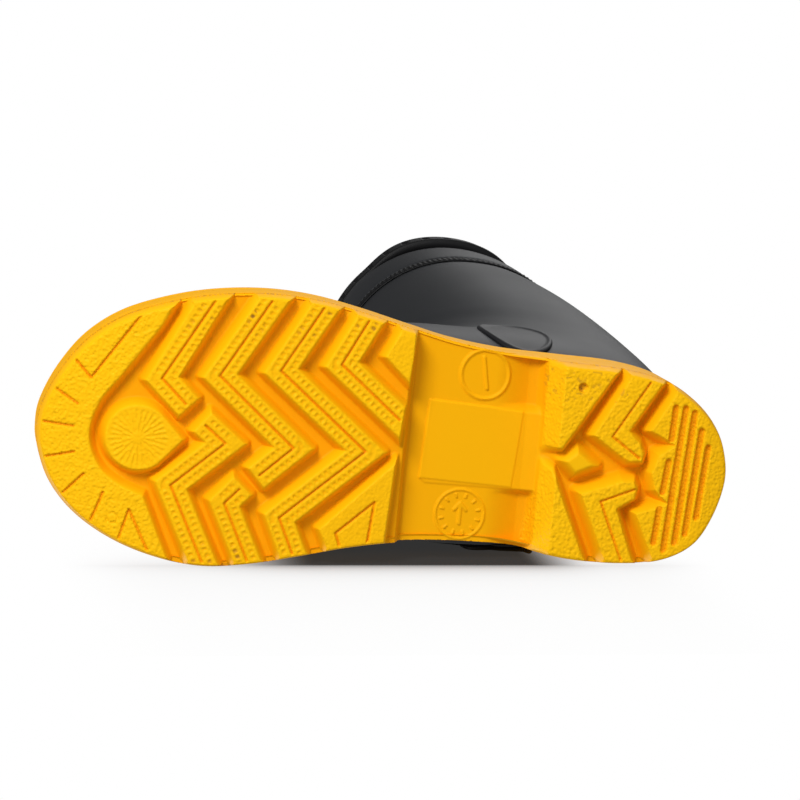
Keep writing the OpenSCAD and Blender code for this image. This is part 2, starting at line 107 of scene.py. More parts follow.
# ---- Meshes ------------------------------------------------------------------------------------

def make_mesh(name, points, faces, material, body="boot"):
    p = np.array(points, float).reshape(-1, 3).copy()
    p[:, 0] -= MID_X
    mesh = bpy.data.meshes.new(name)
    mesh.from_pydata((p * MM).tolist(), [], [tuple(f) for f in faces])
    mesh.validate()
    mesh.polygons.foreach_set("use_smooth", [True] * len(mesh.polygons))
    mesh.materials.append(material)
    mesh.update()
    obj = bpy.data.objects.new(name, mesh)
    bpy.context.scene.collection.objects.link(obj)
    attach(obj, body)
    return obj


def set_values(mesh, **named):
    """Write numbers that a material reads, one for each point of the mesh."""
    for name, values in named.items():
        attribute = mesh.attributes.new(name, "FLOAT", "POINT")
        attribute.data.foreach_set("value", np.array(values, np.float32).ravel())


def grid_faces(rows, columns, close_rows=False, close_columns=True, flip=False):
    i = np.arange(rows if close_rows else rows - 1)[:, None]
    j = np.arange(columns if close_columns else columns - 1)[None, :]
    i2, j2 = (i + 1) % rows, (j + 1) % columns
    quads = np.stack([i * columns + j, i2 * columns + j, i2 * columns + j2, i * columns + j2], -1)
    quads = quads.reshape(-1, 4)
    return quads[:, ::-1] if flip else quads


# ---- Materials ---------------------------------------------------------------------------------

class Nodes:
    """A small helper for building a procedural material."""

    def __init__(self, name):
        self.material = bpy.data.materials.new(name)
        self.material.use_nodes = True
        self.tree = self.material.node_tree
        self.shader = self.tree.nodes["Principled BSDF"]
        self.place = self.add("ShaderNodeTexCoord").outputs["Object"]

    def add(self, kind, inputs=None, **settings):
        node = self.tree.nodes.new(kind)
        for key, value in settings.items():
            setattr(node, key, value)
        for key, value in (inputs or {}).items():
            self.put(node.inputs[key], value)
        return node

    def put(self, socket, value):
        if isinstance(value, bpy.types.NodeSocket):
            self.tree.links.new(value, socket)
        else:
            socket.default_value = value

    def math(self, operation, a, b=0.0, clamp=False):
        node = self.add("ShaderNodeMath", {0: a, 1: b}, operation=operation)
        node.use_clamp = clamp
        return node.outputs[0]

    def noise(self, scale, detail=3.0, rough=0.5, place=None, distortion=0.0):
        node = self.add("ShaderNodeTexNoise", {
            "Vector": place or self.place, "Scale": scale, "Detail": detail,
            "Roughness": rough, "Distortion": distortion})
        return node.outputs["Fac"]

    def cells(self, scale, feature="F1"):
        node = self.add("ShaderNodeTexVoronoi", {"Vector": self.place, "Scale": scale},
                        feature=feature)
        return node.outputs["Distance"]

    def ramp(self, value, stops):
        node = self.add("ShaderNodeValToRGB", {"Fac": value})
        ramp = node.color_ramp
        while len(ramp.elements) < len(stops):
            ramp.elements.new(0.5)
        for element, (at, colour) in zip(ramp.elements, stops):
            element.position = at
            element.color = (*colour, 1)
        return node.outputs["Color"]

    def grey(self, value, low, high, out_low=0.0, out_high=1.0):
        node = self.add("ShaderNodeMapRange", {
            "Value": value, "From Min": low, "From Max": high,
            "To Min": out_low, "To Max": out_high})
        return node.outputs["Result"]

    def mix(self, fac, a, b):
        node = self.add("ShaderNodeMix", data_type="RGBA")
        self.put(node.inputs["Factor"], fac)
        for socket, value in ((node.inputs["A"], a), (node.inputs["B"], b)):
            self.put(socket, (*value, 1) if isinstance(value, tuple) else value)
        return node.outputs["Result"]

    def attribute(self, name):
        return self.add("ShaderNodeAttribute", attribute_name=name).outputs["Fac"]

    def stretched(self, scale):
        node = self.add("ShaderNodeMapping", {"Vector": self.place, "Scale": scale})
        return node.outputs["Vector"]

    def bump(self, height, distance, strength=1.0, after=None):
        inputs = {"Height": height, "Distance": distance, "Strength": strength}
        if after is not None:
            inputs["Normal"] = after
        return self.add("ShaderNodeBump", inputs).outputs["Normal"]

    def finish(self, colour, rough, normal, **fixed):
        self.put(self.shader.inputs["Base Color"], colour)
        self.put(self.shader.inputs["Roughness"], rough)
        self.put(self.shader.inputs["Normal"], normal)
        for key, value in fixed.items():
            self.shader.inputs[key.replace("_", " ")].default_value = value
        return self.material


def sole_material():
    n = Nodes("sole_rubber")
    recess = n.attribute("recess")
    stipple = n.attribute("stipple")
    dirt = n.attribute("dirt")
    wall = n.attribute("wall")
    # Painted shade: the orange darkens towards deep orange where recess is high, in the grooves,
    # cuts, dimples, hollows, the pit, the waist and the side wall.
    colour = n.ramp(recess, [(0.0, (1.0, 0.53, 0.003)), (0.5, (0.98, 0.47, 0.002)),
                             (0.82, (0.90, 0.37, 0.001)), (1.0, (0.78, 0.16, 0.0005))])
    cloud = n.noise(22.0, 4.0, 0.6)
    colour = n.mix(n.grey(cloud, 0.35, 0.7, 0.0, 0.35), colour, (0.96, 0.44, 0.003))
    fine = n.noise(1400.0, 3.0, 0.6)
    colour = n.mix(n.math("MULTIPLY", stipple, n.grey(fine, 0.35, 0.7, 0.0, 0.45)), colour,
                   (1.0, 0.57, 0.006))
    specks = n.noise(260.0, 3.0, 0.6)
    colour = n.mix(n.math("MULTIPLY", dirt, n.grey(specks, 0.4, 0.62), True), colour,
                   (0.36, 0.16, 0.02))
    scuff = n.noise(60.0, 6.0, 0.7, n.stretched((1.0, 0.25, 0.5)))
    colour = n.mix(n.math("MULTIPLY", wall, n.grey(scuff, 0.5, 0.8, 0.0, 0.2)), colour,
                   (0.97, 0.47, 0.006))
    rough = n.grey(n.noise(300.0, 3.0, 0.6), 0.3, 0.7, 0.42, 0.6)
    grain = n.bump(n.noise(2600.0, 2.0, 0.5), 0.00006, 0.5)
    pebble = n.math("MULTIPLY", n.cells(900.0, "SMOOTH_F1"), stipple)
    pebbled = n.bump(pebble, 0.0005, 0.8, grain)
    lines = n.noise(500.0, 2.0, 0.5, n.stretched((0.06, 0.06, 1.0)))
    lined = n.bump(n.math("MULTIPLY", lines, wall), 0.00012, 0.7, pebbled)
    return n.finish(colour, rough, lined, Specular_IOR_Level=0.05)


def upper_material(name, low, high, rough_low=0.5, rough_high=0.55):
    n = Nodes(name)
    cloud = n.noise(9.0, 5.0, 0.6)
    colour = n.ramp(n.grey(cloud, 0.3, 0.7), [(0.0, low), (1.0, high)])
    dust = n.noise(55.0, 6.0, 0.7)
    colour = n.mix(n.grey(dust, 0.6, 0.85, 0.0, 0.12), colour, (0.05, 0.05, 0.052))
    rough = n.grey(n.noise(14.0, 3.0, 0.5), 0.3, 0.7, rough_low, rough_high)
    fine = n.bump(n.noise(1700.0, 3.0, 0.55), 0.00006, 0.5)
    orange_peel = n.bump(n.noise(420.0, 2.0, 0.5), 0.00006, 0.35, fine)
    return n.finish(colour, rough, orange_peel, Specular_IOR_Level=0.3)


def cloth_material(name, dark, light, scale):
    n = Nodes(name)
    wale = n.add("ShaderNodeTexWave", {"Vector": n.stretched((1, 1, 0.35)), "Scale": scale,
                                       "Distortion": 2.0, "Detail": 2.0, "Detail Scale": 3.0},
                 bands_direction="DIAGONAL").outputs["Fac"]
    cross = n.add("ShaderNodeTexWave", {"Vector": n.place, "Scale": scale, "Distortion": 2.5,
                                        "Detail": 2.0}, bands_direction="Z").outputs["Fac"]
    weave = n.math("MULTIPLY", wale, cross)
    worn = n.noise(70.0, 4.0, 0.6)
    fibre = n.noise(2500.0, 2.0, 0.7)
    value = n.math("ADD", n.math("MULTIPLY", weave, 0.55), n.math("MULTIPLY", fibre, 0.45))
    colour = n.ramp(value, [(0.15, dark), (0.75, light)])
    colour = n.mix(n.grey(worn, 0.4, 0.75, 0.0, 0.3), colour, dark)
    return n.finish(colour, 0.9, n.bump(value, 0.0004, 0.8), Sheen_Weight=0.2,
                    Sheen_Roughness=0.5, Specular_IOR_Level=0.2)


def felt_material():
    n = Nodes("felt")
    fibre = n.noise(700.0, 6.0, 0.75, distortion=1.5)
    tuft = n.noise(150.0, 3.0, 0.6)
    value = n.math("ADD", n.math("MULTIPLY", fibre, 0.6), n.math("MULTIPLY", tuft, 0.4))
    colour = n.ramp(value, [(0.3, (0.2, 0.19, 0.17)), (0.55, (0.42, 0.4, 0.37)),
                            (0.75, (0.62, 0.6, 0.55))])
    return n.finish(colour, 0.95, n.bump(value, 0.0009, 0.9), Sheen_Weight=0.35)


def steel_material(name, light, direction):
    n = Nodes(name)
    brushed = n.noise(90.0, 6.0, 0.7, n.stretched(direction))
    colour = n.ramp(brushed, [(0.3, tuple(0.7 * c for c in light)), (0.7, light)])
    stain = n.noise(35.0, 5.0, 0.65)
    colour = n.mix(n.grey(stain, 0.55, 0.8, 0.0, 0.4), colour, (0.24, 0.2, 0.17))
    return n.finish(colour, n.grey(brushed, 0.3, 0.7, 0.22, 0.42),
                    n.bump(brushed, 0.00008, 0.6), Metallic=1.0)


def board_material(name, dark, light, scale=600.0):
    n = Nodes(name)
    fibre = n.noise(scale, 6.0, 0.75, n.stretched((0.25, 1.0, 1.0)), 0.6)
    speck = n.cells(scale * 0.6)
    colour = n.ramp(fibre, [(0.3, dark), (0.7, light)])
    colour = n.mix(n.grey(speck, 0.0, 0.25, 0.5, 0.0), colour, dark)
    return n.finish(colour, 0.85, n.bump(fibre, 0.0003, 0.6))


def foam_material():
    n = Nodes("foam")
    pores = n.cells(1100.0)
    cloud = n.noise(60.0, 4.0, 0.6)
    colour = n.ramp(n.math("ADD", n.math("MULTIPLY", pores, 0.7), n.math("MULTIPLY", cloud, 0.3)),
                    [(0.15, (0.025, 0.035, 0.05)), (0.6, (0.075, 0.095, 0.125))])
    return n.finish(colour, 0.8, n.bump(pores, 0.0003, 0.8))


def filler_material():
    n = Nodes("filler_rubber")
    crumb = n.cells(450.0)
    colour = n.ramp(crumb, [(0.0, (0.012, 0.012, 0.012)), (0.5, (0.05, 0.047, 0.045)),
                            (0.9, (0.1, 0.08, 0.06))])
    return n.finish(colour, 0.85, n.bump(crumb, 0.0006, 0.8))


SOLE = sole_material()
UPPER = upper_material("upper_rubber", (0.017, 0.0185, 0.021), (0.022, 0.0235, 0.026))
CUFF = upper_material("cuff_rubber", (0.019, 0.0205, 0.023), (0.026, 0.0275, 0.030))
# The rim's rubber, also used on the knurled band, is a much darker copy of the upper's: painted
# shade for the rim's underside and the sunken band.
RIM_SHADED = upper_material("rim_rubber", (0.004, 0.004, 0.0045), (0.009, 0.009, 0.010), 0.5, 0.65)
# The guards' rubber is a darker copy of the upper's: painted shade for the pads' faces turned away
# from the light.
GUARD_SHADED = upper_material("guard_rubber", (0.010, 0.0105, 0.0125), (0.015, 0.016, 0.018))
STRIP = upper_material("strip_rubber", (0.012, 0.012, 0.012), (0.025, 0.025, 0.025), 0.5, 0.7)
KNIT = cloth_material("knit_lining", (0.33, 0.29, 0.20), (0.72, 0.67, 0.54), 520.0)
HEM = cloth_material("hem_tape", (0.010, 0.010, 0.010), (0.05, 0.05, 0.052), 700.0)
COVER = cloth_material("cover_cloth", (0.06, 0.065, 0.075), (0.26, 0.275, 0.30), 420.0)
FELT = felt_material()
PLATE = steel_material("plate_steel", (0.62, 0.63, 0.64), (1.0, 0.05, 1.0))
SHANK = steel_material("shank_steel", (0.45, 0.46, 0.48), (1.0, 0.05, 1.0))
CAP = steel_material("cap_steel", (0.52, 0.53, 0.54), (0.3, 1.0, 0.3))
BOARD = board_material("board", (0.30, 0.24, 0.15), (0.58, 0.49, 0.35))
COUNTER = board_material("counter_board", (0.20, 0.15, 0.10), (0.40, 0.33, 0.24), 420.0)
FOAM = foam_material()
FILLER = filler_material()

# ---- Sole: outline and heights -----------------------------------------------------------------

OUTLINE = closed_curve([
    [-0.5, -1], [1.5, 11], [6.5, 20], [15, 28], [26, 34], [42, 37.2], [62, 38.2], [85, 39.3],
    [105, 42], [122, 46], [140, 50.5], [158, 54], [176, 55], [195, 53.2], [212, 49],
    [228, 42.3], [240.5, 32.4], [249.5, 19.6], [254.9, 7], [256, -2], [254.8, -10], [250, -21],
    [241, -31], [228, -39], [212, -44.5], [194, -47], [176, -45.2], [158, -41.2],
    [140, -36.7], [122, -33.5], [104, -32.2], [86, -32], [72, -33.3], [56, -35.5],
    [38, -35.7], [22, -33.4], [10, -26.5], [3, -15]], 20)
TREAD = np.array([[-2, 3], [3, 1.6], [10, 0.2], [14, 0], [65, 0], [71, 11], [76, 12], [112, 11],
                  [120, 5], [122, 0], [188, 0], [205, 1.2], [222, 3.8], [238, 7.6], [250, 11],
                  [258, 14]], float)
FLOOR = open_curve([[-10, 31], [45, 30.5], [70, 28.5], [95, 25.5], [120, 23.2], [150, 22],
                    [188, 22], [210, 22.8], [228, 24.6], [240, 26.8], [252, 29.6], [262, 32]], 6)
LIP_HEIGHT = 6.0
LIP = open_curve([[-10, 32], [45, 30.5], [95, 25.5], [150, 22], [200, 22.5], [225, 25],
                  [245, 28.5], [262, 31]], 6) + [0, LIP_HEIGHT]
HEEL_LUG, FRONT_LUG = 7.5, 5.5
HEEL_END, FORE_START = 74, 116
# The middle level of painted shade given to the side wall and to the tread's skirt.
WALL_RECESS_SHADE = 0.5


def at(curve, x):
    return np.interp(x, curve[:, 0], curve[:, 1])


def tread_z(x):
    return at(TREAD, x)


def base_z(x):
    t = tread_z(x)
    lug = np.interp(x, [65, 71, 112, 120], [HEEL_LUG, 0, 0, FRONT_LUG])
    return t + lug


def floor_z(x):
    return at(FLOOR, x)


# ---- Tread pattern -----------------------------------------------------------------------------

BAR_HALF = 5.1
BARS = [
    [[194, 58], [212.7, 21.2], [202.1, 11.4]],
    [[197.3, 6.9], [188, -0.5], [206.5, -17.5], [190, -50]],
    [[172, 58], [192, 24], [163, -0.5], [176, -12.6]],
    [[180.2, -15.4], [186.5, -22.5], [173, -50]],
    [[152.6, 58], [170, 27.5], [136.5, 0.2], [166, -26.5], [155, -50]],
    [[134.4, 58], [148, 31.5], [118, 7]],
]
SIDE_LUGS = [
    [[119, 60], [121.7, 25.5], [132.7, 35.5], [120.5, 60]],
    [[124.5, -2], [127.3, -50], [141, -50], [151.5, -29.5]],
]
HEEL_LUGS = [
    [[72, 50], [70, 6], [63.3, 6.3], [37, 50]],
    [[69.5, 0], [66, -1.5], [44, -50], [78, -50]],
    [[32, 52], [53, 12.3], [38.5, 3], [33, 3.5], [32.5, 7], [34.3, 11], [38.5, 15], [17, 52]],
    [[55.8, -9.3], [40, -3.3], [35.3, -3.2], [33.8, -6], [34.4, -10.3], [40.6, -14.5], [26, -50],
     [37, -50]],
]
PYRAMID = [[63.7, 2], [57.5, 7.4], [48.9, 0.8], [57.9, -3.5]]
HEEL_BLOCK = [[-5, 50], [12, 50], [31.8, 15.5], [22.2, 10.8], [27.5, 7], [29.8, 0], [28, -6.5],
              [22.9, -11], [34.5, -15.3], [18, -50], [-5, -50]]
TOE_LUG = np.vstack([
    [[204.5, 60], [214.2, 40]],
    open_curve([[221.4, 29.3], [227.6, 20], [233.6, 11.2], [236.7, 1.5], [235.8, -6.5],
                [231.6, -13.8], [225.3, -18.3], [219.5, -20.6]], 6),
    [[216, -21.8], [202, -52], [265, -52], [265, 60]]])
DROP_CENTRE, DROP_RADIUS, DROP_TIP = np.array([219.6, -1]), 12.3, [203, -0.5]
OUTER_ROUNDEL, INNER_ROUNDEL = (93, 30.7), (97.8, -22)
PEBBLE_SIZE = 0.95
# The fine slits: along the bars, and across the toe lug.
BAR_SLITS = [
    [[196, 51], [212.7, 21.2], [203.5, 12.7]],
    [[195.6, 5.4], [188, -0.5], [206.5, -17.5], [192.5, -45.5]],
    [[175.5, 52.5], [192, 24], [163, -0.5], [174.5, -11.3]],
    [[181.5, -17], [186.5, -22.5], [176, -44]],
    [[156, 52], [170, 27.5], [136.5, 0.2], [166, -26.5], [160, -39.5]],
    [[138.5, 50], [148, 31.5], [125, 12.8]],
    [[32.9, 33.5], [45.2, 12.4], [34.5, 5.2]],
    [[34.8, -6.6], [47.3, -12], [36.9, -35]],
]
LONE_SLITS = [
    [[142.8, -35.8], [144.8, -30.7], [131.5, -18.3], [132.9, -34.2]],
    [[221, 45], [238, 19], [247.5, 28.5]],
    [[242, 9], [254, 16]], [[243, 0.7], [256, 1.3]], [[242, -8.7], [253.5, -12]],
    [[238, -16.5], [246.5, -26]], [[230.5, -22.5], [234.5, -34.5]],
    [[224, -40], [220.7, -27.8], [213, -42]],
]
HEEL_GROOVES = [
    [[23.2, 4.7], [24.4, -7]], [[22.5, 25], [23, 13]], [[25, -13], [25.9, -26]],
    [[18.7, 25], [20.4, -1], [21.9, -28.5]], [[15.2, 23.5], [18, -25.5]],
    [[11.9, 17], [14.4, -22]], [[8.8, 11], [10.7, -15.5]],
]
WAIST_PLATE = [[112.8, 20], [77.5, 18], [79.5, -10.5], [114.3, -9.3]]


def bar_outline(line, w):
    p = np.array(line, float)
    ends = np.vstack([2 * p[0] - p[1], p, 2 * p[-1] - p[-2]])
    sides = []
    for side in (1, -1):
        row = []
        for a, b, c in zip(ends[:-2], ends[1:-1], ends[2:]):
            u, v = (b - a) / np.linalg.norm(b - a), (c - b) / np.linalg.norm(c - b)
            m = (u + v) / np.linalg.norm(u + v)
            row.append(b + side * w / (m @ u) * np.array([-m[1], m[0]]))
        sides.append(row)
    return np.array(sides[0] + sides[1][::-1])


def drop_outline():
    a = np.radians(np.linspace(131, -131, 40))
    arc = DROP_CENTRE + DROP_RADIUS * np.stack([np.cos(a), np.sin(a)], 1)
    return np.vstack([arc, [DROP_TIP]])


def ring_shape(x, y, centre, radius, width):
    return np.clip(1 - np.abs(np.hypot(x - centre[0], y - centre[1]) - radius) / width, 0, 1)


PEBBLES = rng.normal(0, 0.55, (320, 140))


def pebbles(x, y):
    """A bumpy field of rounded grains about a millimetre across, from -1 to 1."""
    i, j = (x + 10) / PEBBLE_SIZE, (y + 60) / PEBBLE_SIZE
    i0, j0 = np.floor(i).astype(int), np.floor(j).astype(int)
    a, b = smooth(i - i0), smooth(j - j0)
    f = PEBBLES
    low = f[i0, j0] * (1 - a) + f[i0 + 1, j0] * a
    high = f[i0, j0 + 1] * (1 - a) + f[i0 + 1, j0 + 1] * a
    return np.clip(low * (1 - b) + high * b, -1, 1)


def tread_surface(x, y, edge):
    """Height of the sole's underside, with what its material needs to know; edge is the distance
    to the outline, below zero inside."""
    face, base = tread_z(x), base_z(x)
    fore, heel = x > FORE_START, x < HEEL_END
    lug = np.full(x.shape, FAR)
    for p in [bar_outline(b, BAR_HALF) for b in BARS] + SIDE_LUGS + [drop_outline(), TOE_LUG]:
        lug = np.minimum(lug, np.where(fore, signed(p, x, y), FAR))
    breast = signed([[119.4, 60], [124.6, -2], [127.6, -60], [270, -60], [270, 60]], x, y)
    for p in HEEL_LUGS + [HEEL_BLOCK]:
        lug = np.minimum(lug, np.where(heel, signed(p, x, y), FAR))
    end = edge + 1.5
    shape = np.maximum(lug, end)
    wall_width = np.where(heel, 3.0, 2.35)
    depth = smooth(shape / wall_width, -0.36, 0.98)
    depth = np.where(lug < end, np.clip(shape / 1.5, 0, 1) ** 1.5, depth)
    # The forefoot's rear edge drops steeply to the waist.
    depth = np.where(fore, np.maximum(depth, smooth(breast, -0.8, 1.4)), depth)
    shape = np.where(fore, np.maximum(shape, breast), shape)
    z = face + (base - face) * depth
    # The groove floors run out between the lugs at the inner side.
    inner = np.where(y < 0, 1.0, 0.4)
    run_out = np.clip((edge + 1.7) / 1.7, 0, 1) ** 1.5 * inner * smooth(lug, 0.6, 2.6)
    z = z + 7 * run_out
    # The small pyramid at the front of the heel.
    d = signed(PYRAMID, x, y)
    pyramid = smooth(d, 3.2, -2.2) * heel
    z = np.minimum(z, base - (base - face) * 0.93 * pyramid)
    depth = np.minimum(depth, 1 - 0.93 * pyramid)
    on_face = np.clip(-shape / 0.8, 0, 1)
    # Slits along the bars, with a row of small square dimples on each side.
    dimples = np.zeros(x.shape)
    cut = np.zeros(x.shape)
    for line in BAR_SLITS:
        d, s = along(line, x, y)
        cut = np.maximum(cut, smooth(d, 0.72, 0.25))
        if line[0][0] > 60:
            row = smooth(np.abs(d - 2.7), 1.15, 0.35)
            step = smooth(np.abs((s / 2.4) % 1 - 0.5), 0.42, 0.12)
            dimples = np.maximum(dimples, row * step)
    for line in LONE_SLITS:
        d, s = along(line, x, y)
        cut = np.maximum(cut, smooth(d, 0.75, 0.28))
    for line in HEEL_GROOVES:
        d, s = along(line, x, y)
        cut = np.maximum(cut, 1.5 * smooth(d, 1.6, 0.5))
    z = z + 0.85 * cut * on_face + 0.42 * dimples * on_face
    # A pebbled grain stands on the faces of the toe and heel lugs, and faintly on the bars.
    toe = signed(TOE_LUG, x, y) < -1
    grain = np.where(toe | (heel & (x > 34)), 0.17, 0.08) * on_face * (1 - dimples)
    z = z + grain * pebbles(x, y)
    # The star on the drop-shaped lug.
    r = np.hypot(x - DROP_CENTRE[0], y - DROP_CENTRE[1])
    a = np.arctan2(y - DROP_CENTRE[1], x - DROP_CENTRE[0])
    rays = 0.5 + 0.5 * np.cos(a * np.where(r > 6, 30, 15))
    rays = rays * smooth(r, 1.5, 3) * smooth(r, 11.2, 9.8)
    z = z + 0.3 * rays * (r < 11.5)
    # A round mark on the toe lug and a pit in the heel's outer lug.
    z = z + 0.5 * ring_shape(x, y, (226.5, -31.5), 1.9, 0.8)
    pit = smooth(np.hypot(x - 58, y - 29.7), 2.1, 1.2)
    z = z + 1.6 * pit
    # The waist: a thin raised plate, hollows beside it, and two round marks with no figures.
    waist = smooth(x, 74, 79) * smooth(x, 118, 114)
    plate = smooth(signed(WAIST_PLATE, x, y), 0.5, -0.2)
    step = smooth(signed([[79, 17.8], [62, 17.2], [62, -11.5], [112, -11], [114, -9.5], [79, -10]],
                         x, y), 0.6, -0.4) * smooth(x, 68, 71)
    hollow = smooth(np.abs(x - 72), 17, 2) * np.clip(
        smooth(y, 17.5, 21) + smooth(y, -11, -14), 0, 1) * smooth(x, 69.5, 73)
    z = z - 0.7 * plate - 0.35 * step * (1 - plate) + 3.2 * hollow
    rings = ring_shape(x, y, OUTER_ROUNDEL, 9.1, 1.0)
    rings = rings + 0.8 * ring_shape(x, y, INNER_ROUNDEL, 9.2, 0.8)
    d, s = along([[94, 37], [92, 25.5]], x, y)
    rings = rings + smooth(d, 0.8, 0.3)
    d, s = along([[97.8, -25.5], [97.8, -18]], x, y)
    arrow = smooth(d, 0.9, 0.4)
    d, s = along([[95.6, -20.4], [97.8, -17.8], [100, -20.4]], x, y)
    arrow = np.maximum(arrow, smooth(d, 0.8, 0.35))
    r = np.hypot(x - INNER_ROUNDEL[0], y - INNER_ROUNDEL[1])
    a = np.arctan2(y - INNER_ROUNDEL[1], x - INNER_ROUNDEL[0])
    ticks = smooth(np.abs((a * 12 / (2 * np.pi)) % 1 - 0.5), 0.14, 0.07) * smooth(
        np.abs(r - 7.1), 1.1, 0.7)
    z = z - 0.75 * np.clip(rings, 0, 1) - 0.5 * np.maximum(arrow, ticks)
    # What the material needs: painted shade that grows with how deep a place is, where it is
    # stippled and where dirt gathers.
    recess = np.clip(0.8 * depth + np.minimum(cut, 0.95) * on_face
                     + 0.45 * dimples * on_face + 0.2 * hollow + 0.6 * pit, 0, 1)
    # The whole waist gets a middle level of painted shade, more in its hollows and less on the
    # raised plate.
    recess = np.where((x > 70) & (x < 119), 0.6 + 0.2 * hollow - 0.15 * plate, recess)
    heel_faces = heel & (on_face > 0.5)
    stipple = np.where(toe | heel_faces, 1.0, 0.55) * on_face * (depth < 0.3)
    ends = np.clip(smooth(y, 36, 47) + 0.8 * smooth(y, -31, -39), 0, 1)
    dirt = dimples * on_face * ends * fore * smooth(pebbles(x / 3 + 7, y / 3), -0.25, 0.35)
    outer_heel = heel & (x > 40) & (y > 24) & (pebbles(x, y) > 0.35)
    dirt = dirt + 0.45 * outer_heel * on_face + 0.6 * pit
    return z, recess, stipple, dirt


def build_sole():
    pitch = 0.3
    xs = np.arange(-2.0, 258.0, pitch)
    ys = np.arange(-48.6, 56.6, pitch)
    x, y = np.meshgrid(xs, ys, indexing="ij")
    edge = signed(OUTLINE[::2], x, y)
    gx, gy = np.gradient(edge, pitch)
    near = (edge > -0.5 * pitch) & (edge < 0.95 * pitch)
    x = np.where(near, x - edge * gx, x)
    y = np.where(near, y - edge * gy, y)
    edge = np.where(near, 0.0, edge)
    keep = edge <= 0
    number = np.full(x.shape, -1)
    number[keep] = np.arange(keep.sum())
    px, py, pe = x[keep], y[keep], edge[keep]
    z, recess, stipple, dirt = tread_surface(px, py, pe)
    points = np.stack([px, py, z], 1)
    cells = np.stack([number[:-1, :-1], number[:-1, 1:], number[1:, 1:], number[1:, :-1]], -1)
    cells = cells.reshape(-1, 4)
    full = cells[(cells >= 0).all(1)]
    three = cells[(cells >= 0).sum(1) == 3]
    tris = three[three >= 0].reshape(-1, 3)
    # Close the gap between the tread's border and the side wall.
    loops = np.concatenate([full[:, [0, 1]], full[:, [1, 2]], full[:, [2, 3]], full[:, [3, 0]],
                            tris[:, [0, 1]], tris[:, [1, 2]], tris[:, [2, 0]]])
    key = np.sort(loops, 1)
    _, first, count = np.unique(key, axis=0, return_index=True, return_counts=True)
    border = loops[first[count == 1]]
    used = np.unique(border)
    centre_y = np.interp(points[used, 0], [0, 100, 180, 256], [0, 3, 4, -1])
    inward = np.stack([np.interp(points[used, 0], [0, 30, 225, 256], [1, 0, 0, -1]),
                       centre_y - points[used, 1]], 1)
    inward /= np.linalg.norm(inward, axis=1)[:, None] + 1e-9
    lifted = points[used].copy()
    lifted[:, :2] += 2.4 * inward
    lifted[:, 2] += 2.5
    again = np.full(len(points), -1)
    again[used] = len(points) + np.arange(len(used))
    skirt = np.stack([border[:, 1], border[:, 0], again[border[:, 0]], again[border[:, 1]]], 1)
    points = np.vstack([points, lifted])

    def pad(values, fill):
        return np.concatenate([values, np.full(len(used), fill)])

    faces = [*full.tolist(), *tris.tolist(), *skirt.tolist()]
    obj = make_mesh("outsole_tread", points, faces, SOLE)
    set_values(obj.data, recess=pad(recess, WALL_RECESS_SHADE), stipple=pad(stipple, 0.0),
               dirt=pad(dirt, 0.0), wall=np.zeros(len(points)))
    return obj


def inset(p, d):
    """A closed outline moved inwards by d at each of its points."""
    v = np.roll(p, -1, 0) - np.roll(p, 1, 0)
    n = np.stack([v[:, 1], -v[:, 0]], 1) / np.linalg.norm(v, axis=1)[:, None]
    return p + np.asarray(d).reshape(-1, 1) * n


def build_side_wall():
    x = OUTLINE[:, 0]
    low = base_z(x) - 0.6
    high = at(LIP, x)
    rows = []
    rounded = [(0.0, 0.9), (0.02, 0.45), (0.06, 0.2), (0.12, 0.08), (0.2, 0.0), (0.35, -0.05),
               (0.5, 0.0), (0.62, 0.05), (0.72, 0.12), (0.745, 0.32), (0.77, 0.12), (0.85, 0.08),
               (0.92, 0.1), (0.96, 0.25), (0.985, 0.55), (1.0, 1.1), (1.0, 2.1), (0.99, 3.1),
               (0.97, 4.4), (0.94, 5.6), (0.90, 6.2)]
    inner_side = smooth(-OUTLINE[:, 1], -5, 20)
    for t, d in rounded:
        extra = 1.3 * inner_side * smooth(np.full(len(x), t), 0.9, 0.4)
        p = inset(OUTLINE, d + extra)
        rows.append(np.column_stack([p, low + (high - low) * t]))
    points = np.concatenate(rows)
    obj = make_mesh("outsole_wall", points, grid_faces(len(rows), len(OUTLINE)), SOLE)
    count = len(points)
    set_values(obj.data, recess=np.full(count, WALL_RECESS_SHADE), stipple=np.zeros(count),
               dirt=np.zeros(count), wall=np.ones(count))
    return obj


# ---- Upper -------------------------------------------------------------------------------------

